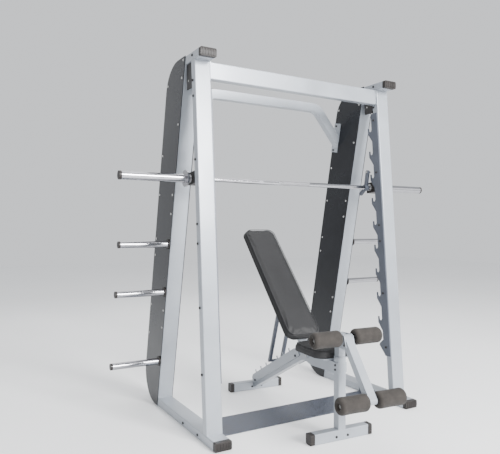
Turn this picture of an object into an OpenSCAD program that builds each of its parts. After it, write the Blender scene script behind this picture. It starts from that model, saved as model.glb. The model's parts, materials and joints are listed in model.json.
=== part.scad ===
// Smith machine with an adjustable bench under its bar.
// Millimetres, X to the right, Y to the back, Z up. The origin is on the floor,
// under the middle of the foot plate. Left is -X as seen from the front.

/* [Frame] */
// Half of the width over the two side frames
half_w = 739; // [700:1:780]
// Width of a frame tube, across the machine
tube_w = 100; // [90:1:110]
// Depth of a frame tube
tube_d = 50; // [45:1:55]
// Wall of a frame tube
tube_wall = 3; // [2:0.5:4]
// Height of the underside of the top arms
arm_z = 2140; // [2100:1:2180]
// Lean of the front uprights, in degrees
front_lean = 4.83; // [4:0.01:5.5]
// Lean of the rear uprights, in degrees
rear_lean = 11.70; // [11:0.01:12.5]
// Distance from the front uprights to the rear uprights, at the base
upright_gap = 747; // [730:1:765]

/* [Bar] */
// Height of the bar's axis along the front uprights
bar_s = 1432; // [1400:1:1460]
// Distance of the bar's axis behind the front face of the uprights
bar_d = 138; // [134:1:142]
// Radius of the bar between the sleeves
bar_r = 14; // [12.5:0.5:15]
// Radius of a plate sleeve
sleeve_r = 24.9; // [24.5:0.1:25]
// Half of the length over the sleeve caps
bar_half = 1150; // [1100:1:1180]
// Distance from one rack hook to the next
hook_pitch = 164; // [150:1:175]
// Number of rack hooks on a side
hooks = 9; // [8:1:9]

/* [Storage and shrouds] */
// Radius of a storage horn
horn_r = 21; // [19:0.5:24]
// Reach of a storage horn from the side frame
horn_reach = 326; // [280:1:340]
// Width of a shroud plate, front to back
shroud_w = 275; // [260:1:290]
// Thickness of a shroud plate
shroud_t = 3; // [2:0.5:4]

/* [Counterbalance] */
// Radius from a pulley's axis to the middle of the cable
pulley_r = 28; // [26:0.5:30]
// Radius of the cable
cable_r = 2.5; // [2:0.5:3]
// Height of the pulley axles
pulley_z = 2040; // [2030:1:2044]

/* [Bench] */
// Turn of the bench about its front foot, in degrees
bench_yaw = -3.5; // [-5:0.5:0]
// Place of the bench's front foot, across the machine
bench_x = -44; // [-60:1:0]
// Place of the bench's front foot, from the foot of the front uprights
bench_y = -270; // [-300:1:-230]
// Angle of the back pad from the floor, in degrees
back_angle = 45; // [44:1:46]
// Length of the back pad
back_len = 930; // [850:5:950]
// Width of both pads
pad_w = 250; // [225:5:260]
// Thickness of both pads
pad_t = 48; // [42:1:52]
// Radius of a foam roller
roller_r = 46; // [40:1:50]

/* [Hidden] */
$fn = 48;

// The frame's own depth is counted from the foot of the front uprights
plate_y0 = 75;
plate_y1 = 340;
origin_y = (plate_y0 + plate_y1) / 2;
base_h = 50;
arm_h = 50;
corner_r = 6;
inner_x = half_w - tube_w;
mid_x = half_w - tube_w / 2;
big = 4000;
base_front = -80;
base_back = 830;
arm_front = 120;
arm_back = 428;
hook_t = 6;
hook_top_s = 1518;
hook_first = 2;
rail_head = [30, 16];
rail_stem = [12, 14];
rail_s0 = 470;
rail_s1 = 1930;
block_s = 72;
block_w = 78;
block_d0 = tube_d + 4;
block_d1 = 166;
bearing_r = 24;
play = 0.05;
catch_arm = 109;
catch_turn = 14.3;
peg_r = 6;
rim_r = pulley_r + 6;
cable_d = tube_d + 40;
rear_cable_d = tube_d + 88;
weight_s = 700;
weight_len = 110;
weight_w = 80;
weight_d = 90;
spine_lean = 28;
spine_y = 1030;
spine_z = 11;
spine_h = 50;
spine_front = 372;
rung_pitch = 88;
strut_foot = [736, 277];
strut_head = [597, 677];
back_pivot = [345, 425];
seat_pivot = [292, 406];
seat_z = 446;
roller_len = 180;
upper_gap = 45;
lower_gap = 29;
upper_axle = [-60, 577];
lower_axle = [-275, 290];

paint = [0.74, 0.77, 0.80];
shroud_black = [0.10, 0.10, 0.11];
hook_grey = [0.33, 0.35, 0.38];
chrome = [0.80, 0.80, 0.82];
plastic_black = [0.12, 0.11, 0.11];
vinyl = [0.20, 0.21, 0.22];
foam = [0.30, 0.28, 0.27];

// A pulley centre as [y, z], from its distance behind the front or rear slope
function front_y(d, z) = (d + (z - base_h) * sin(front_lean)) / cos(front_lean);
function rear_y(d, z) = upright_gap + (d - (z - base_h) * sin(rear_lean)) / cos(rear_lean);
front_centre = [front_y(cable_d + pulley_r, pulley_z), pulley_z];
rear_centre = [rear_y(rear_cable_d - pulley_r, pulley_z), pulley_z];

// ---- Frames of reference

// Moves the side frames' own depth to the part's origin
module place() {
    translate([0, -origin_y, 0])
        children();
}

// Z runs up the front uprights, Y is the distance behind their front face
module front_slope() {
    place()
        translate([0, 0, base_h])
            rotate([-front_lean, 0, 0])
                children();
}

// Z runs up the rear uprights, Y is the distance behind their front face
module rear_slope() {
    place()
        translate([0, upright_gap, base_h])
            rotate([rear_lean, 0, 0])
                children();
}

// The bench's own frame: its front foot is on X, and its length runs along Y
module bench_place() {
    place()
        translate([bench_x, bench_y, 0])
            rotate([0, 0, bench_yaw])
                children();
}

// Draws a flat outline given in Y and Z as a plate from x0, t thick towards +X
module side_plate(x0, t) {
    translate([x0, 0, 0])
        rotate([90, 0, 90])
            linear_extrude(t)
                children();
}

// The same on both sides of the machine, from x0 outwards
module both_plates(x0, t) {
    side_plate(x0, t)
        children();
    side_plate(-x0 - t, t)
        children();
}

module both_sides() {
    for (side = [-1, 1])
        scale_x(side)
            children();
}

// Mirrors left for side -1
module scale_x(side) {
    if (side < 0)
        mirror([1, 0, 0])
            children();
    else
        children();
}

// A rod along X
module x_rod(x0, x1, r) {
    translate([x0, 0, 0])
        rotate([0, 90, 0])
            cylinder(r = r, h = x1 - x0);
}

// ---- Profiles

module round_rect(w, d, r) {
    square([w - 2 * r, d], center = true);
    square([w, d - 2 * r], center = true);
    for (x = [-1, 1], y = [-1, 1])
        translate([x * (w / 2 - r), y * (d / 2 - r)])
            circle(r = r);
}

module tube_profile(w, d, wall, r) {
    difference() {
        round_rect(w, d, r);
        round_rect(w - 2 * wall, d - 2 * wall, r - wall);
    }
}

// A tube of the frame's own section, centred, standing on Z = 0
module frame_tube(length) {
    linear_extrude(length)
        tube_profile(tube_w, tube_d, tube_wall, corner_r);
}

// ---- Side frames

module base_tube(side) {
    color(paint)
        place()
            translate([side * mid_x, base_back, base_h / 2])
                rotate([90, 0, 0])
                    frame_tube(base_back - base_front);
}

module left_base_tube() { base_tube(-1); }
module right_base_tube() { base_tube(1); }

// Keeps what lies between the base tubes and the top arms
module between_base_and_arm() {
    intersection() {
        children();
        translate([-big / 2, -big / 2, base_h])
            cube([big, big, arm_z - base_h]);
    }
}

module front_upright(side) {
    color(paint)
        between_base_and_arm()
            front_slope()
                translate([side * mid_x, tube_d / 2, -100])
                    frame_tube(2400);
}

module left_front_upright() { front_upright(-1); }
module right_front_upright() { front_upright(1); }

// The cable crosses the rear upright through a slot under the arm
module rear_upright(side) {
    color(paint)
        difference() {
            between_base_and_arm()
                rear_slope()
                    translate([side * mid_x, tube_d / 2, -100])
                        frame_tube(2400);
            place()
                translate([side * mid_x - 8, 300, pulley_z + pulley_r - 10])
                    cube([16, 110, 20]);
        }
}

module left_rear_upright() { rear_upright(-1); }
module right_rear_upright() { rear_upright(1); }

module top_arm(side) {
    color(paint)
        place()
            translate([side * mid_x, arm_back, arm_z + arm_h / 2])
                rotate([90, 0, 0])
                    frame_tube(arm_back - arm_front);
}

module left_top_arm() { top_arm(-1); }
module right_top_arm() { top_arm(1); }

// ---- Cross members

beam_flange = 6;
beam_y = 207;

module top_beam() {
    color(paint)
        place()
            translate([0, beam_y, arm_z - tube_w / 2]) {
                translate([-inner_x + beam_flange, 0, 0])
                    rotate([90, 0, 90])
                        linear_extrude(2 * (inner_x - beam_flange))
                            tube_profile(tube_d, tube_w, tube_wall, corner_r);
                for (x = [-inner_x, inner_x - beam_flange])
                    translate([x, -27, -tube_w / 2])
                        cube([beam_flange, 54, tube_w]);
            }
}

brace_h = 60;
brace_d = 50;
brace_y = 610;
brace_z = 2070;
brace_turn = 50.6;
brace_bend = 110;
brace_corner = 442;
brace_x0 = brace_corner - brace_bend * tan(brace_turn / 2);
flange_x = inner_x - shroud_t;
flange_t = 6;
flange_s0 = 1698;
flange_s1 = 1915;

function arc_points(c, r, a0, a1, n) =
    [for (i = [0 : n]) c + r * [cos(a0 + (a1 - a0) * i / n), sin(a0 + (a1 - a0) * i / n)]];
function reversed(p) = [for (i = [len(p) - 1 : -1 : 0]) p[i]];
function to_left(p) = [for (q = p) [-q[0], q[1]]];

// The right half of a line along the brace, h above its middle line
function brace_line(h) =
    let (
        bend = arc_points([brace_x0, -brace_bend], brace_bend + h, 90, 90 - brace_turn, 12),
        last = bend[12],
        run = flange_x - flange_t - last[0]
    )
    concat(bend, [last + [run, -run * tan(brace_turn)]]);

module brace_outline(h) {
    polygon(concat(
        reversed(to_left(brace_line(h))), brace_line(h),
        reversed(brace_line(-h)), to_left(brace_line(-h))
    ));
}

module brace_bar(h, d) {
    rotate([90, 0, 0])
        translate([0, 0, -d / 2])
            linear_extrude(d)
                brace_outline(h);
}

// A bent tube with an open end against each flange
module rear_brace() {
    color(paint) {
        place()
            translate([0, brace_y, brace_z])
                difference() {
                    brace_bar(brace_h / 2, brace_d);
                    brace_bar(brace_h / 2 - tube_wall, brace_d - 2 * tube_wall);
                }
        rear_slope()
            both_plates(flange_x - flange_t, flange_t)
                translate([202, flange_s0])
                    square([66, flange_s1 - flange_s0]);
    }
}

foot_t = 6;

// A flat tread with its ends turned up against the base tubes
module foot_plate() {
    color(hook_grey)
        place()
            translate([-inner_x, plate_y0, 0]) {
                cube([2 * inner_x, plate_y1 - plate_y0, foot_t]);
                for (x = [0, 2 * inner_x - foot_t])
                    translate([x, 0, 0])
                        cube([foot_t, plate_y1 - plate_y0, 40]);
            }
}

// ---- Rack hooks

hook_root = 66;
hook_tip = 103;
lip_w = 10;
notch_r = (hook_tip - lip_w - hook_root - 2) / 2;

// One hook: a web under a round seat, and a lip behind it
module hook_outline(top) {
    difference() {
        polygon([
            [hook_root, top - 100], [78, top - 80], [hook_tip, top - 42], [hook_tip, top - 3],
            [100, top], [95, top], [hook_tip - lip_w, top - 4],
            [hook_tip - lip_w, top - 18], [hook_root, top - 18]
        ]);
        translate([hook_tip - lip_w - notch_r, top - 16])
            circle(r = notch_r);
    }
}

// The band that carries the hooks, with a lobe at its foot
module hook_plates() {
    color(hook_grey)
        front_slope()
            both_plates(inner_x - hook_t, hook_t) {
                polygon([[6, 268], [52, 268], [hook_root, 292], [hook_root, 1940], [6, 1940]]);
                polygon([[58, 280], [104, 338], [98, 352], [60, 380]]);
            }
}

module rack_hooks() {
    color(hook_grey)
        front_slope()
            both_plates(inner_x - hook_t, hook_t)
                for (i = [0 : hooks - 1])
                    hook_outline(hook_top_s + hook_pitch * (hook_first - i));
}

// ---- Shrouds

shroud_top = arm_z + arm_h + 2;
shroud_top_r = 200;
shroud_foot_r = 190;
shroud_foot_z = 1;

// Side view of a shroud, front and back edges along the rear upright's lean
function rear_edge_y(z) = rear_y(0, z) + shroud_w;
top_centre = [rear_edge_y(shroud_top - shroud_top_r) - 205, shroud_top - shroud_top_r];
foot_centre = [rear_edge_y(shroud_foot_z + shroud_foot_r) - 194, shroud_foot_z + shroud_foot_r];

module shroud_outline() {
    polygon(concat(
        [[rear_y(0, shroud_foot_z) + 4, shroud_foot_z]],
        arc_points(foot_centre, shroud_foot_r, -90, rear_lean, 14),
        arc_points(top_centre, shroud_top_r, rear_lean, 90, 14),
        [[rear_y(0, shroud_top), shroud_top]]
    ));
}

module shroud(x0) {
    color(shroud_black)
        place()
            side_plate(x0, shroud_t)
                shroud_outline();
}

module left_outer_shroud() { shroud(-half_w - shroud_t); }
module left_inner_shroud() { shroud(-inner_x); }
module right_outer_shroud() { shroud(half_w); }
module right_inner_shroud() { shroud(inner_x - shroud_t); }

// Heights of the screws along the upright's middle and along the rear edge
front_screws = [486, 602, 1234, 1354, 1786, 2060, 2163];
rear_screws = [367, 572, 915, 1026, 1320, 1574, 2012];
rear_screw_d = 246;

module screw_places() {
    for (s = front_screws)
        translate([0, tube_d / 2, s])
            children();
    for (s = rear_screws)
        translate([0, rear_screw_d, s])
            children();
}

module screw_head(x0) {
    x_rod(x0, x0 + 3, 7);
}

// Inner shroud heads stand on the plate's free side, outer ones outside
module shroud_screws() {
    color(chrome)
        rear_slope()
            both_sides() {
                screw_places()
                    screw_head(half_w + shroud_t);
                screw_places()
                    screw_head(flange_x - 3);
            }
}

// Round spacers hold each pair of plates apart along the rear edge
module shroud_spacers() {
    color(plastic_black)
        rear_slope()
            both_sides()
                for (s = rear_screws)
                    translate([0, rear_screw_d, s])
                        x_rod(inner_x, half_w, 9);
}

// ---- Plate storage

horn_heights = [1074, 766, 304];
flange_w = 10;

module horn_places() {
    both_sides()
        for (z = horn_heights)
            place()
                translate([0, rear_y(tube_d / 2, z), z])
                    children();
}

module storage_horns() {
    color(chrome)
        horn_places()
            x_rod(half_w + shroud_t + flange_w, half_w + horn_reach - 12, horn_r);
}

module horn_flanges() {
    color(plastic_black)
        horn_places()
            x_rod(half_w + shroud_t, half_w + shroud_t + flange_w, 31);
}

module horn_caps() {
    color(plastic_black)
        horn_places()
            x_rod(half_w + horn_reach - 12, half_w + horn_reach, horn_r);
}

// ---- Fasteners and end caps of the frame

upright_bolts = [2023, 1932, 1566, 1200, 1090, 735, 371];
base_bolts = [117, 325];

module bolt_head(x0, x1) {
    x_rod(x0, x1, 8);
}

module frame_bolts() {
    color(plastic_black)
        both_sides() {
            for (z = upright_bolts)
                place()
                    translate([0, front_y(32, z), z])
                        bolt_head(half_w, half_w + 6);
            for (z = upright_bolts)
                place()
                    translate([0, front_y(z > 2000 ? 38 : 42, z), z])
                        bolt_head(
                            z > 2000 ? inner_x - 5 : inner_x - hook_t - 5,
                            z > 2000 ? inner_x : inner_x - hook_t
                        );
            for (y = base_bolts)
                place()
                    translate([0, y, 22])
                        bolt_head(half_w, half_w + 5);
            place()
                translate([0, beam_y + 2, arm_z + 29])
                    bolt_head(half_w, half_w + 5);
            place()
                translate([0, beam_y + 2, arm_z + 29])
                    bolt_head(inner_x - 5, inner_x);
            rear_slope()
                for (s = [flange_s0 + 16, flange_s1 - 20])
                    translate([0, rear_screw_d, s])
                        bolt_head(flange_x - flange_t - 6, flange_x - flange_t);
        }
}

// A ribbed plug with a bulged face, its back on Y = 0 and its face towards -Y
module end_cap(w, h) {
    intersection() {
        rotate([90, 0, 0])
            linear_extrude(40)
                round_rect(w, h, 7);
        translate([-w, 66, 0])
            rotate([0, 90, 0])
                cylinder(r = 94, h = 2 * w, $fn = 96);
    }
    for (i = [-2 : 2])
        translate([i * w / 6 - 2, -29.5, -h * 0.34])
            cube([4, 10, h * 0.68]);
}

module tube_end_caps() {
    color(plastic_black)
        both_sides()
            place() {
                translate([mid_x, arm_front, arm_z + arm_h / 2])
                    end_cap(tube_w, arm_h);
                translate([mid_x, base_front, base_h / 2])
                    end_cap(tube_w, base_h);
            }
}

// ---- Guide rails and carriage

module rail_outline(gap) {
    w = rail_head[0] + 2 * gap;
    translate([-w / 2, tube_d + rail_stem[1] - gap])
        square([w, rail_head[1] + 2 * gap]);
    translate([-rail_stem[0] / 2 - gap, tube_d])
        square([rail_stem[0] + 2 * gap, rail_stem[1] + gap]);
}

module guide_rails() {
    color(chrome)
        front_slope()
            both_sides()
                translate([mid_x, 0, rail_s0])
                    linear_extrude(rail_s1 - rail_s0)
                        rail_outline(0);
}

module carriage_blocks() {
    color(plastic_black)
        front_slope()
            both_sides()
                translate([mid_x, 0, bar_s - block_s / 2])
                    difference() {
                        translate([-block_w / 2, block_d0, 0])
                            cube([block_w, block_d1 - block_d0, block_s]);
                        translate([0, 0, -1])
                            linear_extrude(block_s + 2)
                                rail_outline(2);
                        translate([0, bar_d, block_s / 2])
                            x_rod(-block_w, block_w, bearing_r);
                    }
}

// Slippery strips on both sides of the rail's head
module carriage_liners() {
    strip = 2 - 0.1;
    color("white")
        front_slope()
            both_sides()
                for (x = [-rail_head[0] / 2 - 2, rail_head[0] / 2 + 0.1])
                    translate([mid_x + x, tube_d + rail_stem[1], bar_s - block_s / 2])
                        cube([strip, rail_head[1], block_s]);
}

module bar_place() {
    front_slope()
        translate([0, bar_d, bar_s])
            children();
}

module bar_bearings() {
    color(chrome)
        bar_place()
            both_sides()
                difference() {
                    x_rod(mid_x - block_w / 2, mid_x + block_w / 2, bearing_r);
                    x_rod(mid_x - block_w, mid_x + block_w, bar_r + play);
                }
}

anchor_h = 16;

module cable_anchors() {
    color(chrome)
        front_slope()
            both_sides()
                translate([mid_x, cable_d, bar_s + block_s / 2])
                    cylinder(r = 6, h = anchor_h);
}

// ---- Bar

collar_x = 750;
sleeve_x = 760;
cap_len = 14;

module bar_shaft() {
    color(chrome)
        bar_place()
            x_rod(-collar_x, collar_x, bar_r);
}

module bar_sleeves() {
    color(chrome)
        bar_place()
            both_sides()
                x_rod(sleeve_x, bar_half - cap_len, sleeve_r);
}

module sleeve_collars() {
    color(chrome)
        bar_place()
            both_sides()
                x_rod(collar_x, sleeve_x, 49);
}

module sleeve_caps() {
    color(plastic_black)
        bar_place()
            both_sides()
                x_rod(bar_half - cap_len, bar_half, sleeve_r);
}

catch_plates = [610, 621];
catch_t = 5;

// A bent lever: a nose arm for the peg and a tail on the other side
module catch_outline() {
    difference() {
        union() {
            circle(r = 24);
            rotate([0, 0, catch_turn]) {
                translate([-13, 0])
                    square([26, catch_arm]);
                translate([0, catch_arm])
                    circle(r = 13);
            }
            rotate([0, 0, -125]) {
                translate([-12, 0])
                    square([24, 66]);
                translate([0, 66])
                    circle(r = 12);
            }
        }
        circle(r = bar_r);
        rotate([0, 0, catch_turn])
            translate([0, catch_arm])
                circle(r = peg_r);
    }
}

// The pegs that drop into the rack hooks
module catch_pegs() {
    color(chrome)
        bar_place()
            both_sides()
                rotate([catch_turn, 0, 0])
                    translate([0, 0, catch_arm])
                        x_rod(catch_plates[0] - 2, inner_x + 1, peg_r);
}

module bar_catches() {
    color(hook_grey)
        bar_place()
            both_sides() {
                for (x = catch_plates)
                    side_plate(x, catch_t)
                        catch_outline();
                difference() {
                    x_rod(catch_plates[0] - 8, catch_plates[1] + catch_t + 3, 20);
                    x_rod(catch_plates[0] - 20, catch_plates[1] + catch_t + 20, bar_r);
                }
            }
}

// ---- Counterbalance

cheek_x = [mid_x - 39, mid_x + 34];
cheek_y = [232, 308];
cheek_t = 5;
axle_r = 6;

module pulley_brackets() {
    color(plastic_black)
        both_sides()
            place()
                for (x = cheek_x)
                    difference() {
                        translate([x, cheek_y[0], 1990])
                            cube([cheek_t, cheek_y[1] - cheek_y[0], arm_z - 1990]);
                        translate([0, front_centre[0], front_centre[1]])
                            x_rod(x - 10, x + cheek_t + 10, axle_r);
                    }
}

module pulley_axles() {
    color(chrome)
        both_sides()
            place() {
                translate([0, front_centre[0], front_centre[1]])
                    x_rod(cheek_x[0], cheek_x[1] + cheek_t, axle_r);
                translate([0, rear_centre[0], rear_centre[1]])
                    x_rod(inner_x, half_w, axle_r);
            }
}

// A grooved wheel about X, with a bore that runs on its axle
module pulley() {
    half = 6;
    floor_r = pulley_r - cable_r - play;
    translate([mid_x, 0, 0])
        rotate([0, 90, 0])
            rotate_extrude($fn = 64)
                polygon([
                    [axle_r + play, -half - 2], [14, -half - 2], [14, -half],
                    [rim_r, -half], [rim_r, -half + 1.5], [floor_r, -cable_r - 0.3],
                    [floor_r, cable_r + 0.3], [rim_r, half - 1.5], [rim_r, half],
                    [14, half], [14, half + 2], [axle_r + play, half + 2]
                ]);
}

module front_pulleys() {
    color(plastic_black)
        both_sides()
            place()
                translate([0, front_centre[0], front_centre[1]])
                    pulley();
}

module rear_pulleys() {
    color(plastic_black)
        both_sides()
            place()
                translate([0, rear_centre[0], rear_centre[1]])
                    pulley();
}

// Where the straight runs touch their pulleys, measured up each slope
front_tangent = (pulley_z - base_h) / cos(front_lean)
    + (cable_d + pulley_r) * tan(front_lean);
rear_tangent = (pulley_z - base_h) / cos(rear_lean)
    - (rear_cable_d - pulley_r) * tan(rear_lean);

module cable_wrap(centre, a0, a1) {
    place()
        translate([mid_x, centre[0], centre[1]])
            rotate([90, 0, 90])
                rotate([0, 0, a0])
                    rotate_extrude(angle = a1 - a0, $fn = 64)
                        translate([pulley_r, 0])
                            circle(r = cable_r, $fn = 16);
}

// One cable: up from the carriage, over both pulleys, down to the weight
module cable(side) {
    low = bar_s + block_s / 2 + anchor_h;
    top_run = rear_centre[0] - front_centre[0];
    color("dimgray")
        scale_x(side) {
            front_slope()
                translate([mid_x, cable_d, low])
                    cylinder(r = cable_r, h = front_tangent - low, $fn = 16);
            cable_wrap(front_centre, 90, 180 - front_lean);
            place()
                translate([mid_x, front_centre[0], pulley_z + pulley_r])
                    rotate([-90, 0, 0])
                        cylinder(r = cable_r, h = top_run, $fn = 16);
            cable_wrap(rear_centre, rear_lean, 90);
            rear_slope()
                translate([mid_x, rear_cable_d, weight_s + weight_len])
                    cylinder(r = cable_r, h = rear_tangent - weight_s - weight_len, $fn = 16);
        }
}

module cables() {
    cable(-1);
    cable(1);
}

module counterweights() {
    color(hook_grey)
        rear_slope()
            both_sides()
                translate([mid_x - weight_w / 2, rear_cable_d - weight_d / 2, weight_s])
                    cube([weight_w, weight_d, weight_len]);
}

// ---- Bench frame

foot_w = 50;
foot_h = 60;
foot_half = 180;
bench_wall = 2.5;
rear_foot_y = 1045;
plate_x = 25;
plate_t = 6;

module bench_foot(y) {
    color(paint)
        bench_place()
            translate([-foot_half, y, foot_h / 2])
                rotate([90, 0, 90])
                    linear_extrude(2 * foot_half)
                        tube_profile(foot_w, foot_h, bench_wall, 5);
}

module bench_front_foot() { bench_foot(0); }
module bench_rear_foot() { bench_foot(rear_foot_y); }

// A plug with a shoulder that stands 2 mm proud of its tube on three sides
module bench_cap() {
    rotate([90, 0, 90])
        linear_extrude(26)
            round_rect(foot_w + 4, foot_h, 8);
}

module bench_foot_caps() {
    color(plastic_black)
        bench_place()
            for (y = [0, rear_foot_y])
                both_sides()
                    translate([foot_half, y, foot_h / 2])
                        bench_cap();
}

post_top = 462;

module bench_post() {
    color(paint)
        bench_place()
            translate([0, 0, foot_h])
                linear_extrude(post_top - foot_h)
                    tube_profile(2 * plate_x, foot_w, bench_wall, 5);
}

// Z runs up the spine towards the front, Y is the height over its lower edge
module spine_slope() {
    bench_place()
        translate([0, spine_y, spine_z])
            rotate([90 - spine_lean, 0, 0])
                children();
}

module bench_spine() {
    color(paint)
        intersection() {
            spine_slope()
                translate([0, spine_h / 2, -60])
                    linear_extrude(960)
                        tube_profile(2 * plate_x, spine_h, bench_wall, 5);
            bench_place()
                translate([-100, spine_front, -10])
                    cube([200, rear_foot_y - foot_w / 2 - spine_front, 600]);
        }
}

// The strut's cross bar in the spine's own frame, as [height, distance]
function to_spine(p) =
    let (v = [p[0] - spine_y, p[1] - spine_z])
    [v[0] * sin(spine_lean) + v[1] * cos(spine_lean),
     -v[0] * cos(spine_lean) + v[1] * sin(spine_lean)];
rung = to_spine(strut_foot);
rung_r = 8;
claw_in = rung_r + 1.6;
claw_out = rung_r + 7;

// A claw behind each stop: the lower, rear part of a ring
module claw_outline() {
    intersection() {
        difference() {
            circle(r = claw_out);
            circle(r = claw_in);
        }
        polygon([[0, 0], [-60, 20], [-60, -60], [60, -60], [34, -34]]);
    }
}

module ladder_outline() {
    top = rung[0] - claw_in - 1;
    polygon([
        [26, 30], [top - 16, 30], [top, 52], [top, 705], [top - 22, 745], [26, 745]
    ]);
    for (i = [-3 : 3])
        translate([rung[0], rung[1] + i * rung_pitch])
            claw_outline();
}

module bench_ladder_plates() {
    color(hook_grey)
        spine_slope()
            both_plates(plate_x, plate_t)
                ladder_outline();
}

// Two plates join the post, the seat pivot, the back pivot and the spine
module bench_side_plates() {
    color(paint)
        bench_place()
            both_plates(plate_x, plate_t)
                difference() {
                    polygon([
                        [-22, 376], [30, 370], [250, 358], [318, 374], [350, 366],
                        [478, 304], [490, 324], [380, 383], [372, 392], [364, 430],
                        [352, 441], [338, 441], [322, 424], [290, 424], [284, 430],
                        [-22, 430]
                    ]);
                    translate([seat_pivot[0], seat_pivot[1]])
                        circle(r = 6 + play);
                    translate([back_pivot[0], back_pivot[1]])
                        circle(r = 10 + play);
                }
}

arm_lean = atan2(upper_axle[0] - lower_axle[0], upper_axle[1] - lower_axle[1]);
arm_len = norm(upper_axle - lower_axle);
arm_depth = 40;
roller_axle_r = 10;

// The rollers' arm: a flat tube with a round end and a bore at each axle
module bench_leg_arm() {
    color(paint)
        bench_place()
            translate([0, lower_axle[0], lower_axle[1]])
                rotate([-arm_lean, 0, 0])
                    difference() {
                        union() {
                            translate([-plate_x, -arm_depth / 2, 0])
                                cube([2 * plate_x, arm_depth, arm_len]);
                            for (s = [0, arm_len])
                                translate([0, 0, s])
                                    x_rod(-plate_x, plate_x, arm_depth / 2);
                        }
                        translate([-plate_x + 3, -arm_depth / 2 + 3, 24])
                            cube([2 * plate_x - 6, arm_depth - 6, arm_len - 48]);
                        for (s = [0, arm_len])
                            translate([0, 0, s])
                                x_rod(-plate_x - 1, plate_x + 1, roller_axle_r + play);
                    }
}

// A square stub that slides into the post, a head, and two cheeks for the arm
module bench_arm_bracket() {
    stub = foot_w - 2 * bench_wall - 3;
    color(paint)
        bench_place() {
            translate([-stub / 2, -stub / 2, 400])
                cube([stub, stub, 130]);
            translate([-plate_x, -stub / 2, 528])
                cube([2 * plate_x, stub, 66]);
            both_plates(plate_x, plate_t)
                difference() {
                    polygon([
                        [-100, 528], [-80, 518], [stub / 2, 528], [stub / 2, 594],
                        [-66, 598], [-82, 588]
                    ]);
                    translate([upper_axle[0], upper_axle[1]])
                        circle(r = roller_axle_r + play);
                }
        }
}

// Bolt heads on the bench's left and right faces, as [y, z]
side_bolts = [[-84, 541], [0, 545], [0, 415], [0, 390]];
ladder_bolts = [[40, 70], [40, 700]];

module bench_bolts() {
    color(plastic_black) {
        bench_place() {
            both_sides()
                for (p = side_bolts)
                    translate([0, p[0], p[1]])
                        x_rod(plate_x + plate_t, plate_x + plate_t + 5, 7);
            for (x = [-38, 38], y = [-foot_w / 2, rear_foot_y - foot_w / 2])
                translate([x, y, 24])
                    rotate([90, 0, 0])
                        cylinder(r = 7, h = 5);
        }
        spine_slope()
            both_sides()
                for (p = ladder_bolts)
                    translate([0, p[0], p[1]])
                        x_rod(plate_x + plate_t, plate_x + plate_t + 5, 8);
    }
}

pin_end = 41;

module bench_pivot_pins() {
    color(chrome)
        bench_place() {
            translate([0, back_pivot[0], back_pivot[1]])
                x_rod(-pin_end, pin_end, 10);
            translate([0, seat_pivot[0], seat_pivot[1]])
                x_rod(-pin_end, pin_end, 6);
        }
}

// ---- Bench back

frame_half = 24.5;
frame_h = 30;

// Z runs up the back from its pivot, Y is the distance behind the pivot's line
module back_place() {
    bench_place()
        translate([0, back_pivot[0], back_pivot[1]])
            rotate([back_angle - 90, 0, 0])
                children();
}

// The strut's upper pivot, as a distance up the back from its own pivot
strut_up = norm(strut_head - back_pivot);
pad_front = -66;
pad_s0 = 65;

module bench_back_frame() {
    color(paint)
        back_place()
            difference() {
                union() {
                    translate([-frame_half, -frame_h / 2, 0])
                        cube([2 * frame_half, frame_h, 780]);
                    x_rod(-frame_half, frame_half, frame_h / 2);
                    for (s = [150, 400, 690])
                        translate([-95, -frame_h / 2 - 2, s])
                            cube([190, 4, 50]);
                    for (x = [-36, frame_half])
                        translate([x, 0, strut_up])
                            x_rod(0, 36 - frame_half, 13);
                }
                x_rod(-40, 40, 10 + play);
                translate([0, 0, strut_up])
                    x_rod(-40, 40, 8);
                translate([-frame_half + 3, -frame_h / 2 + 3, 30])
                    cube([2 * frame_half - 6, frame_h - 6, strut_up - 30 - 20]);
                translate([-frame_half + 3, -frame_h / 2 + 3, strut_up + 20])
                    cube([2 * frame_half - 6, frame_h - 6, 780 - strut_up - 23]);
            }
}

// A plain pad: a slab with round corners in plan, set off the frame
module pad_solid(length, corner) {
    linear_extrude(pad_t)
        round_rect(pad_w, length, corner);
}

pad_gap = 0.3;

module bench_back_pad() {
    color(vinyl)
        back_place()
            translate([0, -frame_h / 2 - 2 - pad_gap, pad_s0 + back_len / 2])
                rotate([90, 0, 0])
                    pad_solid(back_len, 60);
}

// ---- Bench strut

arm_x = [37, 57];
strut_len = norm(strut_head - strut_foot);
strut_lean = atan2(strut_foot[0] - strut_head[0], strut_head[1] - strut_foot[1]);

// Hangs from its head: two square arms, a pin at the top and the rung below
module bench_strut() {
    color(hook_grey)
        bench_place()
            translate([0, strut_head[0], strut_head[1]])
                rotate([strut_lean, 0, 0]) {
                    for (x = [-arm_x[1], arm_x[0]])
                        difference() {
                            translate([x, -10, -strut_len])
                                cube([arm_x[1] - arm_x[0], 20, strut_len]);
                            x_rod(x - 1, x + 21, 8 - play);
                        }
                    x_rod(-arm_x[1] - 4, arm_x[1] + 4, 8 - play);
                    translate([0, 0, -strut_len])
                        x_rod(-arm_x[1], arm_x[1], rung_r);
                }
}

// ---- Bench seat

seat_y0 = 30;
seat_y1 = 322;
ear_t = 6;

module bench_seat_frame() {
    color(paint)
        bench_place() {
            translate([-90, seat_y0, seat_z - 5])
                cube([180, seat_pivot[0] - seat_y0, 5]);
            both_plates(plate_x + plate_t + 0.5, ear_t)
                difference() {
                    union() {
                        translate([seat_pivot[0] - 28, seat_pivot[1]])
                            square([56, seat_z - seat_pivot[1] - 4]);
                        translate([seat_pivot[0], seat_pivot[1]])
                            circle(r = 15);
                    }
                    translate([seat_pivot[0], seat_pivot[1]])
                        circle(r = 6 + play);
                }
        }
}

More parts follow.
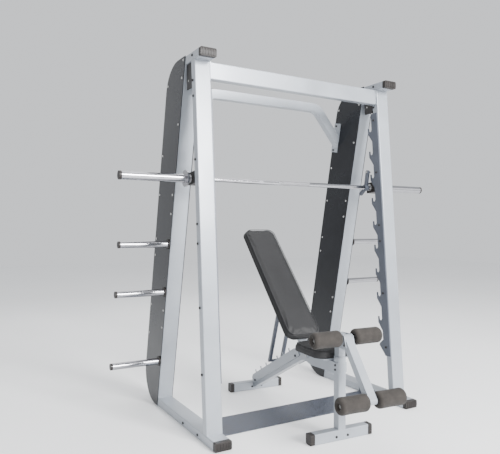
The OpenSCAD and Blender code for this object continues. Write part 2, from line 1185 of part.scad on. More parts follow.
module bench_seat_pad() {
    color(vinyl)
        bench_place()
            translate([0, (seat_y0 + seat_y1) / 2, seat_z + pad_gap])
                pad_solid(seat_y1 - seat_y0, 60);
}

// ---- Bench rollers

module roller_pair(axle, gap) {
    color(foam)
        bench_place()
            translate([0, axle[0], axle[1]])
                both_sides()
                    difference() {
                        x_rod(gap, gap + roller_len, roller_r);
                        x_rod(gap - 1, gap + roller_len + 1, roller_axle_r + play);
                    }
}

module roller_axle(axle, gap) {
    end = gap + roller_len - 14;
    translate([0, axle[0], axle[1]])
        x_rod(-end, end, roller_axle_r);
}

module bench_upper_rollers() { roller_pair(upper_axle, upper_gap); }
module bench_lower_rollers() { roller_pair(lower_axle, lower_gap); }

module bench_roller_axles() {
    color(chrome)
        bench_place() {
            roller_axle(upper_axle, upper_gap);
            roller_axle(lower_axle, lower_gap);
        }
}

left_base_tube();
right_base_tube();
left_front_upright();
right_front_upright();
left_rear_upright();
right_rear_upright();
left_top_arm();
right_top_arm();
top_beam();
rear_brace();
foot_plate();
hook_plates();
rack_hooks();
left_outer_shroud();
left_inner_shroud();
right_outer_shroud();
right_inner_shroud();
shroud_screws();
shroud_spacers();
storage_horns();
horn_flanges();
horn_caps();
frame_bolts();
tube_end_caps();
guide_rails();
pulley_brackets();
pulley_axles();
cables();
carriage_blocks();
carriage_liners();
bar_bearings();
cable_anchors();
bar_shaft();
bar_sleeves();
sleeve_collars();
sleeve_caps();
bar_catches();
catch_pegs();
front_pulleys();
rear_pulleys();
counterweights();
bench_front_foot();
bench_rear_foot();
bench_foot_caps();
bench_post();
bench_spine();
bench_ladder_plates();
bench_side_plates();
bench_leg_arm();
bench_bolts();
bench_pivot_pins();
bench_back_frame();
bench_back_pad();
bench_strut();
bench_seat_frame();
bench_seat_pad();
bench_upper_rollers();
bench_lower_rollers();
bench_roller_axles();
bench_arm_bracket();
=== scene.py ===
"""The looks of a smith machine with a bench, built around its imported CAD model. Metres."""

import json
import math

import bmesh
import bpy
import numpy as np
from mathutils import Matrix, Vector


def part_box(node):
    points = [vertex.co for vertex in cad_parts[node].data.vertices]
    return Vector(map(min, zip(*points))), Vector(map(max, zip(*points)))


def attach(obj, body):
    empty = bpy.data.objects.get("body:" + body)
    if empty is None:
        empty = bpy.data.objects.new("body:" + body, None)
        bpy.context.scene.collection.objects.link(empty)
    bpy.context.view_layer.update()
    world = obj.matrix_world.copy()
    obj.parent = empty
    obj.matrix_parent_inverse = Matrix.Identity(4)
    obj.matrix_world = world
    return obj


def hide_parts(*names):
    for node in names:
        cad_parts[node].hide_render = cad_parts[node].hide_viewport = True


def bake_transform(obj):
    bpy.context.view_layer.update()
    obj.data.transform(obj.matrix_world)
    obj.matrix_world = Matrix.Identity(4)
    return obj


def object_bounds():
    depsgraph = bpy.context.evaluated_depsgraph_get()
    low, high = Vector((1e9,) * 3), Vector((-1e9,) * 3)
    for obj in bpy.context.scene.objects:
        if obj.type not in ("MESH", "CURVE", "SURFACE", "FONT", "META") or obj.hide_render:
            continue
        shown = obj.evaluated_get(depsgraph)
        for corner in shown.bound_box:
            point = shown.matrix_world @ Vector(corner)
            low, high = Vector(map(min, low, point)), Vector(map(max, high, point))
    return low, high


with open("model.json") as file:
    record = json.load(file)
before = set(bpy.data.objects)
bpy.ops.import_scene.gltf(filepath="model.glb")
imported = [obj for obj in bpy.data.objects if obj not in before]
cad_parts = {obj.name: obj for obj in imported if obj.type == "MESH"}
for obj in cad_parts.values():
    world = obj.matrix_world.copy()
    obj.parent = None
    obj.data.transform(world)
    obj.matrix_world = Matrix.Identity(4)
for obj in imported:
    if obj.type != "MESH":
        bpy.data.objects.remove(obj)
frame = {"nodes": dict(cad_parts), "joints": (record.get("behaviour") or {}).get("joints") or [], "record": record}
cad_low, cad_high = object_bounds()
nodes = frame["nodes"]
record = frame["record"]
joints = {j["name"]: j for j in frame["joints"]}
body_of_node = {n: b for b, ns in record["behaviour"]["bodies"].items() for n in ns}
slot_of_node = {s["node"]: s["material_slot"] for s in record["subparts"]}


# The cables' radius, and the pads' remesh size, the height held by their boards, and frames simulated
CABLE_RADIUS = 0.0025
VOXEL = 0.0055
BOARD_HEIGHT = 0.012
SIM_FRAMES = 20


# ---- Camera and light


def aim_camera(place, yaw, pitch, roll, lens):
    """A camera at place that looks along +Y turned by yaw towards +X."""
    look = Vector((math.sin(yaw) * math.cos(pitch), math.cos(yaw) * math.cos(pitch), math.sin(pitch)))
    right = Vector((math.cos(yaw), -math.sin(yaw), 0))
    up = right.cross(look)
    spin = Matrix.Rotation(-roll, 3, look)
    right, up = spin @ right, spin @ up
    data = bpy.data.cameras.new("camera")
    data.lens = lens
    data.sensor_width = 36
    data.clip_end = 60
    camera = bpy.data.objects.new("camera", data)
    turn = Matrix((right, up, -look)).transposed().to_4x4()
    camera.matrix_world = Matrix.Translation(place) @ turn
    bpy.context.scene.collection.objects.link(camera)
    bpy.context.scene.camera = camera


def area_light(name, place, target, size, power, tint=(1, 1, 1)):
    data = bpy.data.lights.new(name, "AREA")
    data.shape = "RECTANGLE"
    data.size, data.size_y = size
    data.energy = power
    data.color = tint
    light = bpy.data.objects.new(name, data)
    light.location = place
    light.rotation_euler = (Vector(target) - Vector(place)).to_track_quat("-Z", "Y").to_euler()
    bpy.context.scene.collection.objects.link(light)


aim_camera((-1.9818, -2.8405, 1.187), 0.52047, -0.00083, 0.00352, 38.72)
area_light("key", (1.2, -6.2, 3.6), (0, 0, 1.0), (2.6, 2.6), 1150)
area_light("fill", (4.2, -2.4, 2.2), (0, 0, 1.0), (2.6, 2.4), 30)
area_light("back", (0.5, 4.8, 3.4), (0, 0, 1.2), (4.0, 2.0), 50)
area_light("top", (0, 0.3, 5.6), (0, 0.3, 0), (5.5, 5.5), 200)

world = bpy.data.worlds.new("studio")
bpy.context.scene.world = world
world.use_nodes = True
sky = world.node_tree.nodes["Background"]
sky.inputs["Color"].default_value = (0.95, 0.97, 1.0, 1)
sky.inputs["Strength"].default_value = 0.95


# ---- Materials


def node_material(name, base, spread=0.06, patch=9.0, rough=(0.4, 0.5), metallic=0.0,
                  bumps=((600, 0.15, 0.0004),), coat=0.0, sheen=0.0, specular=0.5):
    """A procedural material: colour and roughness drift over the surface, with fine relief."""
    m = bpy.data.materials.new(name)
    m.use_nodes = True
    tree = m.node_tree
    new = tree.nodes.new
    link = tree.links.new
    shader = tree.nodes["Principled BSDF"]
    shader.inputs["Metallic"].default_value = metallic
    shader.inputs["Coat Weight"].default_value = coat
    shader.inputs["Coat Roughness"].default_value = 0.12
    shader.inputs["Sheen Weight"].default_value = sheen
    shader.inputs["Specular IOR Level"].default_value = specular
    where = new("ShaderNodeTexCoord")
    drift = new("ShaderNodeTexNoise")
    drift.inputs["Scale"].default_value = patch
    drift.inputs["Detail"].default_value = 5
    drift.inputs["Roughness"].default_value = 0.6
    link(where.outputs["Object"], drift.inputs["Vector"])
    tint = new("ShaderNodeValToRGB")
    tint.color_ramp.elements[0].position = 0.3
    tint.color_ramp.elements[1].position = 0.72
    tint.color_ramp.elements[0].color = [c * (1 - spread) for c in base] + [1]
    tint.color_ramp.elements[1].color = [min(1, c * (1 + spread)) for c in base] + [1]
    link(drift.outputs["Fac"], tint.inputs["Fac"])
    link(tint.outputs["Color"], shader.inputs["Base Color"])
    spread_rough = new("ShaderNodeMapRange")
    spread_rough.inputs["From Min"].default_value = 0.3
    spread_rough.inputs["From Max"].default_value = 0.7
    spread_rough.inputs["To Min"].default_value = rough[0]
    spread_rough.inputs["To Max"].default_value = rough[1]
    link(drift.outputs["Fac"], spread_rough.inputs["Value"])
    link(spread_rough.outputs["Result"], shader.inputs["Roughness"])
    last = None
    for scale, strength, distance in bumps:
        grain = new("ShaderNodeTexNoise")
        grain.inputs["Scale"].default_value = scale
        grain.inputs["Detail"].default_value = 3
        link(where.outputs["Object"], grain.inputs["Vector"])
        bump = new("ShaderNodeBump")
        bump.inputs["Strength"].default_value = strength
        bump.inputs["Distance"].default_value = distance
        link(grain.outputs["Fac"], bump.inputs["Height"])
        if last:
            link(last.outputs["Normal"], bump.inputs["Normal"])
        last = bump
    if last:
        link(last.outputs["Normal"], shader.inputs["Normal"])
    return m


def add_relief(m, height, strength, distance):
    """Adds one more height on top of a material's own relief."""
    tree = m.node_tree
    shader = tree.nodes["Principled BSDF"]
    bump = tree.nodes.new("ShaderNodeBump")
    bump.inputs["Strength"].default_value = strength
    bump.inputs["Distance"].default_value = distance
    tree.links.new(height, bump.inputs["Height"])
    old = shader.inputs["Normal"].links
    if old:
        tree.links.new(old[0].from_socket, bump.inputs["Normal"])
    tree.links.new(bump.outputs["Normal"], shader.inputs["Normal"])
    return bump


def math_node(tree, kind, a, b=None, c=None):
    n = tree.nodes.new("ShaderNodeMath")
    n.operation = kind
    for i, v in enumerate((a, b, c)):
        if v is None:
            continue
        if isinstance(v, (int, float)):
            n.inputs[i].default_value = v
        else:
            tree.links.new(v, n.inputs[i])
    return n.outputs[0]


def knurled(m, half):
    """A diamond knurl over |x| < half on a bar along X, with plain bands at its ends."""
    tree = m.node_tree
    where = tree.nodes.new("ShaderNodeTexCoord").outputs["Object"]
    split = tree.nodes.new("ShaderNodeSeparateXYZ")
    tree.links.new(where, split.inputs[0])
    low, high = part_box("bar_shaft")
    mid = (low + high) / 2
    dy = math_node(tree, "SUBTRACT", split.outputs["Y"], mid.y)
    dz = math_node(tree, "SUBTRACT", split.outputs["Z"], mid.z)
    turn = math_node(tree, "MULTIPLY", math_node(tree, "ARCTAN2", dz, dy), 28.0)
    along = math_node(tree, "MULTIPLY", split.outputs["X"], 2000.0)
    one = math_node(tree, "SINE", math_node(tree, "ADD", turn, along))
    two = math_node(tree, "SINE", math_node(tree, "SUBTRACT", turn, along))
    far = math_node(tree, "ABSOLUTE", split.outputs["X"])
    inside = math_node(tree, "LESS_THAN", far, half)
    height = math_node(tree, "MULTIPLY", math_node(tree, "MAXIMUM", one, two), inside)
    add_relief(m, height, 0.9, 0.0006)
    rough = tree.nodes["Principled BSDF"].inputs["Roughness"]
    plain = rough.links[0].from_socket
    near = math_node(tree, "MULTIPLY", inside, 0.32)
    tree.links.new(math_node(tree, "ADD", plain, near), rough)
    return m


def leather(name, base):
    """Upholstery vinyl: a cell grain with fine pores."""
    m = node_material(name, base, spread=0.10, patch=7, rough=(0.46, 0.6),
                      bumps=((900, 0.20, 0.0005),), specular=0.28)
    tree = m.node_tree
    where = tree.nodes.new("ShaderNodeTexCoord").outputs["Object"]
    cells = tree.nodes.new("ShaderNodeTexVoronoi")
    cells.feature = "DISTANCE_TO_EDGE"
    cells.inputs["Scale"].default_value = 420
    tree.links.new(where, cells.inputs["Vector"])
    dents = math_node(tree, "MINIMUM", math_node(tree, "MULTIPLY", cells.outputs["Distance"], 4), 0.6)
    add_relief(m, dents, 0.35, 0.0006)
    wide = tree.nodes.new("ShaderNodeTexNoise")
    wide.inputs["Scale"].default_value = 14
    tree.links.new(where, wide.inputs["Vector"])
    add_relief(m, wide.outputs["Fac"], 0.30, 0.006)
    return m


def foam_material():
    """Closed-cell foam: a matt, pitted, slightly mottled skin."""
    return node_material("roller_foam", (0.036, 0.032, 0.029), spread=0.3, patch=22, rough=(0.78, 0.92),
                         bumps=((1400, 0.5, 0.0009), (260, 0.3, 0.0014)), sheen=0.05, specular=0.2)


def checkered():
    """A painted tread plate: rows of raised bars on a mottled ground."""
    m = node_material("tread_plate", (0.060, 0.068, 0.090), spread=0.45, patch=30, rough=(0.30, 0.5),
                      metallic=0.3, bumps=((500, 0.25, 0.0006),))
    tree = m.node_tree
    where = tree.nodes.new("ShaderNodeTexCoord").outputs["Object"]
    split = tree.nodes.new("ShaderNodeSeparateXYZ")
    tree.links.new(where, split.inputs[0])
    across, along = split.outputs["X"], split.outputs["Y"]
    u = math_node(tree, "MULTIPLY", math_node(tree, "ADD", across, along), 150)
    v = math_node(tree, "MULTIPLY", math_node(tree, "SUBTRACT", across, along), 150)
    a = math_node(tree, "MULTIPLY", math_node(tree, "SINE", u), math_node(tree, "SINE", v))
    above = math_node(tree, "SUBTRACT", math_node(tree, "ABSOLUTE", a), 0.55)
    raised = math_node(tree, "MAXIMUM", above, 0)
    add_relief(m, raised, 0.7, 0.004)
    return m


materials = {
    "silver_paint": node_material("silver_paint", (0.33, 0.355, 0.39), spread=0.07, patch=3.5,
                                  rough=(0.30, 0.42), metallic=0.30, coat=0.25,
                                  bumps=((1500, 0.10, 0.0003), (90, 0.05, 0.0012))),
    "shroud_black": node_material("shroud_gloss", (0.010, 0.011, 0.014), spread=0.25, patch=4,
                                  rough=(0.20, 0.30), specular=0.28,
                                  bumps=((30, 0.05, 0.002), (900, 0.06, 0.0003))),
    "hook_grey": node_material("hook_plate_paint", (0.085, 0.095, 0.12), spread=0.12, patch=8,
                               rough=(0.36, 0.5), metallic=0.2, coat=0.1,
                               bumps=((1300, 0.14, 0.0004), (70, 0.06, 0.0014))),
    "chrome": node_material("chrome_plate", (0.36, 0.36, 0.38), spread=0.08, patch=16,
                            rough=(0.08, 0.18), metallic=1.0, bumps=((60, 0.03, 0.001),)),
    "black_plastic": node_material("black_plastic", (0.016, 0.013, 0.012), spread=0.3, patch=24,
                                   rough=(0.40, 0.56), specular=0.35, bumps=((700, 0.32, 0.0007),)),
    "white_plastic": node_material("nylon_liner", (0.74, 0.74, 0.70), spread=0.05, patch=20,
                                   rough=(0.4, 0.5), bumps=((400, 0.15, 0.0005),)),
    "dark_bolt": node_material("black_oxide_bolt", (0.045, 0.043, 0.043), spread=0.2, patch=60,
                               rough=(0.34, 0.48), metallic=0.8, bumps=((900, 0.2, 0.0004),)),
    "steel": node_material("zinc_steel", (0.52, 0.52, 0.51), spread=0.10, patch=40,
                           rough=(0.24, 0.36), metallic=0.95, bumps=((500, 0.12, 0.0004),)),
    "iron": node_material("weight_iron", (0.055, 0.056, 0.06), spread=0.25, patch=30,
                          rough=(0.5, 0.68), metallic=0.4, bumps=((220, 0.5, 0.0016),)),
    "vinyl": leather("charcoal_vinyl", (0.020, 0.020, 0.021)),
    "foam": foam_material(),
}
piping_vinyl = leather("piping_vinyl", (0.032, 0.032, 0.034))
tread_plate = checkered()
bar_chrome = knurled(
    node_material("bar_chrome", (0.42, 0.42, 0.44), spread=0.08, patch=20, rough=(0.12, 0.22),
                  metallic=1.0, bumps=((70, 0.03, 0.001),)), 0.12)
wire_rope = node_material("wire_rope", (0.34, 0.34, 0.35), spread=0.2, patch=300, rough=(0.3, 0.45),
                          metallic=0.9, bumps=((2400, 0.5, 0.0004),))


def finish_node(name, m):
    o = nodes[name]
    if not o.material_slots:
        o.data.materials.append(m)
    for s in o.material_slots:
        s.material = m


for name in nodes:
    finish_node(name, materials[slot_of_node[name]])
finish_node("foot_plate", tread_plate)
finish_node("bar_shaft", bar_chrome)


# ---- Helpers for pieces


def islands(name):
    """The separate solids of a CAD node, each as an array of its corner points."""
    co = np.array([v.co for v in nodes[name].data.vertices], float)
    _, ids = np.unique(np.round(co, 5), axis=0, return_inverse=True)
    ids = ids.reshape(-1)
    parent = list(range(ids.max() + 1))

    def root(i):
        while parent[i] != i:
            parent[i] = parent[parent[i]]
            i = parent[i]
        return i

    for p in nodes[name].data.polygons:
        vs = [root(ids[v]) for v in p.vertices]
        for v in vs[1:]:
            parent[root(v)] = root(vs[0])
    groups = {}
    for i, k in enumerate(ids):
        groups.setdefault(root(k), []).append(i)
    return [co[g] for g in sorted(groups.values(), key=lambda g: tuple(co[g].mean(0).round(4)))]


def main_axes(points):
    """Centre, axes from the longest to the shortest, and sizes of a box-like solid."""
    unique = np.unique(points.round(5), axis=0)
    centre = unique.mean(0)
    _, _, axes = np.linalg.svd(unique - centre, full_matrices=False)
    t = (unique - centre) @ axes.T
    middle = (t.max(0) + t.min(0)) / 2
    return Vector(centre + middle @ axes), [Vector(a) for a in axes], list(t.max(0) - t.min(0))


def make_object(name, bm, material, smooth=True):
    mesh = bpy.data.meshes.new(name)
    bm.normal_update()
    bm.to_mesh(mesh)
    bm.free()
    mesh.materials.append(material)
    for p in mesh.polygons:
        p.use_smooth = smooth
    o = bpy.data.objects.new(name, mesh)
    bpy.context.scene.collection.objects.link(o)
    return o


def frame_at(centre, x, y, z):
    m = Matrix((x.normalized(), y.normalized(), z.normalized())).transposed().to_4x4()
    return Matrix.Translation(centre) @ m


def apply_modifiers(o):
    """Puts an object's modifiers into its mesh."""
    graph = bpy.context.evaluated_depsgraph_get()
    mesh = bpy.data.meshes.new_from_object(o.evaluated_get(graph))
    o.modifiers.clear()
    o.data = mesh
    return o


def lathe(bm, profile, steps, place):
    """Turns (radius, height) points about Z, and closes both ends where the radius is 0."""
    rings = []
    for r, h in profile:
        if r < 1e-6:
            rings.append([bm.verts.new(place @ Vector((0, 0, h)))])
            continue
        ring = []
        for i in range(steps):
            a = 2 * math.pi * i / steps
            ring.append(bm.verts.new(place @ Vector((r * math.cos(a), r * math.sin(a), h))))
        rings.append(ring)
    for one, two in zip(rings, rings[1:]):
        for i in range(steps):
            j = (i + 1) % steps
            if len(one) == 1:
                bm.faces.new((one[0], two[j], two[i]))
            elif len(two) == 1:
                bm.faces.new((one[i], one[j], two[0]))
            else:
                bm.faces.new((one[i], one[j], two[j], two[i]))


# ---- Fasteners


def bolt_head(bm, centre, out, radius, height):
    """A domed head with a hexagon socket, its seat at centre and its dome along out."""
    side = out.orthogonal().normalized()
    place = frame_at(centre, side, out.cross(side), out)
    steps = 24
    crown = [(radius, 0), (radius, height * 0.35), (radius * 0.93, height * 0.68),
             (radius * 0.76, height * 0.92), (radius * 0.60, height)]
    socket = radius * 0.48
    angles = [2 * math.pi * i / steps for i in range(steps)]

    def ring(reach, up):
        return [bm.verts.new(place @ Vector((reach(a) * math.cos(a), reach(a) * math.sin(a), up)))
                for a in angles]

    def hexagon(a):
        return socket * math.cos(math.pi / 6) / math.cos((a % (math.pi / 3)) - math.pi / 6)

    rings = [ring(lambda a: r, up) for r, up in crown]
    rings += [ring(hexagon, height * 0.98), ring(hexagon, height * 0.35)]
    for one, two in zip(rings, rings[1:]):
        for i in range(steps):
            j = (i + 1) % steps
            bm.faces.new((one[i], one[j], two[j], two[i]))
    bm.faces.new(rings[-1])
    bm.faces.new(list(reversed(rings[0])))


def fastener_piece(name, node, outward):
    """Replaces a node of plain heads by domed socket heads at the same places."""
    bm = bmesh.new()
    for points in islands(node):
        centre, axes, sizes = main_axes(points)
        axis = min(zip(sizes, axes), key=lambda p: p[0])[1]
        height = min(sizes)
        radius = sorted(sizes)[1] / 2
        out = outward(centre)
        axis = axis if axis.dot(out) > 0 else -axis
        bolt_head(bm, centre - axis * height / 2, axis, radius, height)
    o = make_object(name, bm, materials[slot_of_node[node]])
    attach(o, body_of_node[node])
    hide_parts(node)
    return o


outer_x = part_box("right_front_upright")[1].x
inner_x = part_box("right_front_upright")[0].x


def frame_outward(p):
    side = 1 if p.x > 0 else -1
    return Vector((side if abs(p.x) > (outer_x + inner_x) / 2 else -side, 0, 0))


bench_axis = Vector(joints["back_lift"]["axis"])
bench_along = Vector((-bench_axis.y, bench_axis.x, 0))
bench_mid = Vector(joints["back_lift"]["pos_m"])


def bench_outward(p):
    side = (p - bench_mid).dot(bench_axis)
    if p.z < 0.06:
        return -bench_along
    return bench_axis if side > 0 else -bench_axis


fastener_piece("frame_bolt_heads", "frame_bolts", frame_outward)
fastener_piece("shroud_screw_heads", "shroud_screws", frame_outward)
fastener_piece("bench_bolt_heads", "bench_bolts", bench_outward)


# ---- Pads


def rounded_outline(half_u, half_v, r, step):
    """Points around a rectangle with round corners, in order."""
    points = []
    for cu, cv, a0 in ((1, 1, 0), (-1, 1, 90), (-1, -1, 180), (1, -1, 270)):
        n = 10
        for i in range(n + 1):
            a = math.radians(a0 + 90 * i / n)
            points.append((cu * (half_u - r) + r * math.cos(a), cv * (half_v - r) + r * math.sin(a)))
    out = []
    for (x0, y0), (x1, y1) in zip(points, points[1:] + points[:1]):
        length = math.hypot(x1 - x0, y1 - y0)
        n = max(1, int(length / step))
        for i in range(n):
            out.append((x0 + (x1 - x0) * i / n, y0 + (y1 - y0) * i / n))
    return out


def pad_mesh(length, width, thick, corner):
    """A closed pad on its back board: flat below, tight sides and a crowned top. Z is out."""
    bm = bmesh.new()
    rim = [(0.0, 0.0), (0.0005, 0.35), (0.0, 0.62), (0.0035, 0.82), (0.0105, 0.94), (0.021, 0.985),
           (0.034, 1.0)]
    base = rounded_outline(length / 2, width / 2, corner, 0.012)
    rings = []
    for inset, up in rim:
        ring = []
        for u, v in base:
            cu = max(-length / 2 + corner, min(length / 2 - corner, u))
            cv = max(-width / 2 + corner, min(width / 2 - corner, v))
            d = math.hypot(u - cu, v - cv)
            k = (d - inset) / d if d > 1e-6 else 1
            ring.append(bm.verts.new((cu + (u - cu) * k, cv + (v - cv) * k, up * thick)))
        rings.append(ring)
    return join_rings(bm, rings)


def join_rings(bm, rings):
    n = len(rings[0])
    for one, two in zip(rings, rings[1:]):
        for i in range(n):
            j = (i + 1) % n
            bm.faces.new((one[i], one[j], two[j], two[i]))
    bm.faces.new(rings[-1])
    bm.faces.new(list(reversed(rings[0])))
    return bm


def swell(o, cap, pressure=4.0):
    """Blows the pad's cover out a little with a cloth simulation, and keeps its back flat."""
    remesh = o.modifiers.new("remesh", "REMESH")
    remesh.mode = "VOXEL"
    remesh.voxel_size = VOXEL
    apply_modifiers(o)
    rest = np.array([v.co for v in o.data.vertices], float)
    low = rest[:, 2].min()
    group = o.vertex_groups.new(name="board")
    group.add([i for i, p in enumerate(rest) if p[2] < low + BOARD_HEIGHT], 1.0, "REPLACE")
    cloth = o.modifiers.new("cloth", "CLOTH")
    cloth.settings.quality = 6
    cloth.settings.mass = 0.3
    cloth.settings.tension_stiffness = 40
    cloth.settings.compression_stiffness = 40
    cloth.settings.shear_stiffness = 20
    cloth.settings.bending_stiffness = 3
    cloth.settings.use_pressure = True
    cloth.settings.uniform_pressure_force = pressure
    cloth.settings.vertex_group_mass = "board"
    cloth.settings.effector_weights.gravity = 0
    cloth.collision_settings.use_collision = False
    scene = bpy.context.scene
    for f in range(1, SIM_FRAMES + 1):
        scene.frame_set(f)
    graph = bpy.context.evaluated_depsgraph_get()
    moved = bpy.data.meshes.new_from_object(o.evaluated_get(graph))
    new = np.array([v.co for v in moved.vertices], float)
    step = new - rest
    size = np.linalg.norm(step, axis=1)
    k = np.minimum(1, cap / np.maximum(size, 1e-9))
    final = rest + step * k[:, None]
    final[:, 2] = np.maximum(final[:, 2], low)
    o.modifiers.clear()
    o.vertex_groups.clear()
    o.data = moved
    o.data.vertices.foreach_set("co", final.reshape(-1))
    o.data.update()
    scene.frame_set(1)
    return o


def relax(o, rounds):
    smooth = o.modifiers.new("smooth", "SMOOTH")
    smooth.factor = 0.5
    smooth.iterations = rounds
    apply_modifiers(o)


def piping(name, length, width, corner, inset, height, radius, place, material):
    """A sewn cord that runs round the pad's face."""
    base = rounded_outline(length / 2 - inset, width / 2 - inset, max(corner - inset, 0.02), 0.008)
    bm = bmesh.new()
    rings = []
    n = len(base)
    sides = 8
    for i, (u, v) in enumerate(base):
        pu, pv = base[i - 1]
        qu, qv = base[(i + 1) % n]
        t = Vector((qu - pu, qv - pv, 0)).normalized()
        side = Vector((t.y, -t.x, 0))
        up = Vector((0, 0, 1))
        ring = []
        for k in range(sides):
            a = 2 * math.pi * k / sides
            p = Vector((u, v, height)) + side * (radius * math.cos(a)) + up * (radius * math.sin(a))
            ring.append(bm.verts.new(place @ p))
        rings.append(ring)
    for i in range(n):
        one, two = rings[i], rings[(i + 1) % n]
        for k in range(sides):
            m = (k + 1) % sides
            bm.faces.new((one[k], one[m], two[m], two[k]))
    return make_object(name, bm, material)


def make_pad(name, node, out_hint, corner, inset, cap):
    """A swollen pad with piping, in the space of its CAD solid."""
    centre, axes, sizes = main_axes(islands(node)[0])
    u, v, w = axes
    if w.dot(out_hint) < 0:
        w = -w
    v = w.cross(u)
    length, width, thick = sizes
    place = frame_at(centre - w * thick / 2, u, v, w)
    slack = cap * 0.55
    side_slack = 0.001
    bm = pad_mesh(length - 2 * side_slack, width - 2 * side_slack, thick - slack, corner)
    pad = make_object(name, bm, materials["vinyl"])
    swell(pad, cap)
    relax(pad, 4)
    refine = pad.modifiers.new("refine", "SUBSURF")
    refine.levels = 1
    refine.render_levels = 1
    for p in pad.data.polygons:
        p.use_smooth = True
    if not pad.data.materials:
        pad.data.materials.append(materials["vinyl"])
    pad.matrix_world = place
    body = body_of_node[node]
    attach(pad, body)
    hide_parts(node)
    top = thick - slack * 0.25
    cord = piping(name + "_piping", length, width, corner, inset, top * 0.955, 0.0024, place, piping_vinyl)
    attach(cord, body)
    seam_inset = side_slack + 0.002
    seam_height = thick * 0.16
    seam = piping(name + "_lower_seam", length, width, corner, seam_inset, seam_height, 0.0022, place,
                  materials["vinyl"])
    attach(seam, body)
    return pad


make_pad("back_cushion", "bench_back_pad", Vector((0, -1, 1)), 0.060, 0.014, 0.006)
make_pad("seat_cushion", "bench_seat_pad", Vector((0, 0, 1)), 0.060, 0.014, 0.006)


# ---- Foam rollers


def roller_profile(length, radius, hole):
    """A roller's outline as (radius, height), from the hole at one end to the hole at the other."""
    r = 0.020
    points = [(hole, 0.022), (hole * 1.05, 0.010), (hole * 1.5, 0.0045), (radius - r - 0.004, 0.0)]
    for i in range(1, 9):
        a = math.radians(-90 + 90 * i / 8)
        points.append((radius - r + r * math.cos(a), r + r * math.sin(a)))
    waist = []
    for i in range(1, 16):
        t = i / 16
        waist.append((radius - 0.0012 * math.sin(math.pi * t), r + (length - 2 * r) * t))
    mirrored = [(a, length - b) for a, b in reversed(points)]
    return points + waist + mirrored


def make_rollers(name, node, joint):
    axis = Vector(joints[joint]["axis"])
    side = Vector((0, 0, 1))
    bm = bmesh.new()
    for points in islands(node):
        along = points @ np.array(axis)
        centre = Vector((points.max(0) + points.min(0)) / 2)
        length = along.max() - along.min()
        flat = points - np.outer(along, np.array(axis))
        radius = (flat[:, 2].max() - flat[:, 2].min()) / 2
        start = centre + axis * (along.min() - centre.dot(axis))
        place = frame_at(start, axis.cross(side), side, axis)
        lathe(bm, roller_profile(length, radius, 0.0125), 56, place)
    phases = np.random.default_rng(7).uniform(0, 6.28, 6)
    mid = np.array([v.co for v in bm.verts]).mean(0)
    for v in bm.verts:
        p = np.array(v.co) - mid
        wave = 1
        for value, rate, phase in zip(p, (31, 47, 53), phases):
            wave *= math.sin(value * rate + phase)
        away = p - np.dot(p, np.array(axis)) * np.array(axis)
        length = np.linalg.norm(away)
        if length > 0.03:
            v.co -= Vector(away / length) * (0.0010 * (1 + wave))
    bmesh.ops.recalc_face_normals(bm, faces=bm.faces)
    o = make_object(name, bm, materials["foam"])
    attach(o, body_of_node[node])
    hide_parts(node)
    return o


make_rollers("upper_foam_rollers", "bench_upper_rollers", "upper_roller_spin")
make_rollers("lower_foam_rollers", "bench_lower_rollers", "lower_roller_spin")


# ---- Cables


def tube_along(name, points, radius, material, sides=10):
    """A round tube through points, closed at both ends."""
    bm = bmesh.new()
    rings = []
    n = len(points)
    for i, p in enumerate(points):
        t = (points[min(i + 1, n - 1)] - points[max(i - 1, 0)]).normalized()
        a = Vector((1, 0, 0))
        b = t.cross(a).normalized()
        rings.append([bm.verts.new(p + a * radius * math.cos(k * 2 * math.pi / sides)
                                   + b * radius * math.sin(k * 2 * math.pi / sides)) for k in range(sides)])
    for one, two in zip(rings, rings[1:]):
        for k in range(sides):
            m = (k + 1) % sides
            bm.faces.new((one[k], one[m], two[m], two[k]))
    bm.faces.new(list(reversed(rings[0])))
    bm.faces.new(rings[-1])
    bmesh.ops.recalc_face_normals(bm, faces=bm.faces)
    return make_object(name, bm, material)


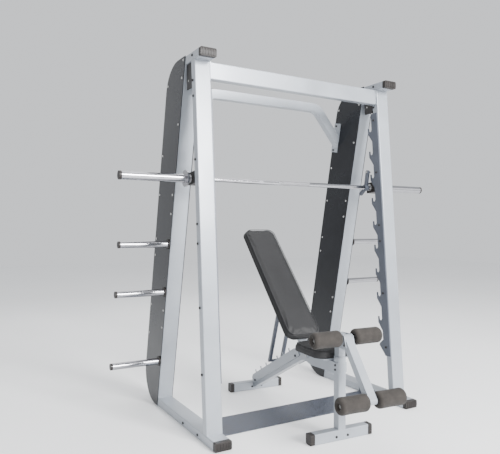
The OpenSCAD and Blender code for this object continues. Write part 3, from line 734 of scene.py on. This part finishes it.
def cable_pieces(side):
    """The cable over both pulleys, on the frame, and its straight front run down to the carriage's anchor and rear
    run down to the counterweight, not attached to any body.
    """
    word = "left" if side < 0 else "right"
    cable_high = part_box("cables")[1]
    x = side * (cable_high.x - CABLE_RADIUS)
    up = Vector(joints["carriage_slide"]["axis"])
    back_up = Vector(joints["counterweight_slide"]["axis"])
    front = Vector(joints["front_pulley_spin"]["pos_m"])
    rear = Vector(joints["rear_pulley_spin"]["pos_m"])
    pulley = cable_high.z - CABLE_RADIUS - front.z
    lean = Vector((0, up.z, -up.y))
    back_lean = Vector((0, back_up.z, -back_up.y))
    front_touch = Vector((x, front.y, front.z)) - lean * pulley
    rear_touch = Vector((x, rear.y, rear.z)) + back_lean * pulley
    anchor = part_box("cable_anchors")[1].z - 0.001
    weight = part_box("counterweights")[1].z - 0.004
    low = front_touch - up * ((front_touch.z - anchor) / up.z)
    bottom = rear_touch - back_up * ((rear_touch.z - weight) / back_up.z)
    wrap = []
    a0, a1 = math.atan2(-lean.z, -lean.y), math.pi / 2
    a0 = a0 + 2 * math.pi if a0 < a1 else a0
    steps = 12
    for i in range(steps + 1):
        a = a0 + (a1 - a0) * i / steps
        wrap.append(Vector((x, front.y + pulley * math.cos(a), front.z + pulley * math.sin(a))))
    b1 = math.atan2(back_lean.z, back_lean.y)
    for i in range(steps + 1):
        a = math.pi / 2 + (b1 - math.pi / 2) * i / steps
        wrap.append(Vector((x, rear.y + pulley * math.cos(a), rear.z + pulley * math.sin(a))))
    over = tube_along(word + "_cable_over", wrap, CABLE_RADIUS, wire_rope)
    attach(over, "frame")
    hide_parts("cables")
    run = [front_touch.lerp(low, i / 20) for i in range(21)]
    front_run = tube_along(word + "_cable_front", run, CABLE_RADIUS, wire_rope)
    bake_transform(front_run)
    run = [rear_touch.lerp(bottom, i / 20) for i in range(21)]
    rear_run = tube_along(word + "_cable_rear", run, CABLE_RADIUS, wire_rope)
    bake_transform(rear_run)


cable_pieces(-1)
cable_pieces(1)


# ---- Floor


def make_floor():
    bm = bmesh.new()
    bmesh.ops.create_grid(bm, x_segments=2, y_segments=2, size=14)
    bmesh.ops.translate(bm, verts=bm.verts, vec=(0, 0, cad_low.z - 0.0005))
    m = node_material("floor", (0.93, 0.935, 0.94), spread=0.01, patch=0.6, rough=(0.55, 0.65),
                      bumps=((40, 0.02, 0.001),))
    o = make_object("floor", bm, m, smooth=False)


make_floor()
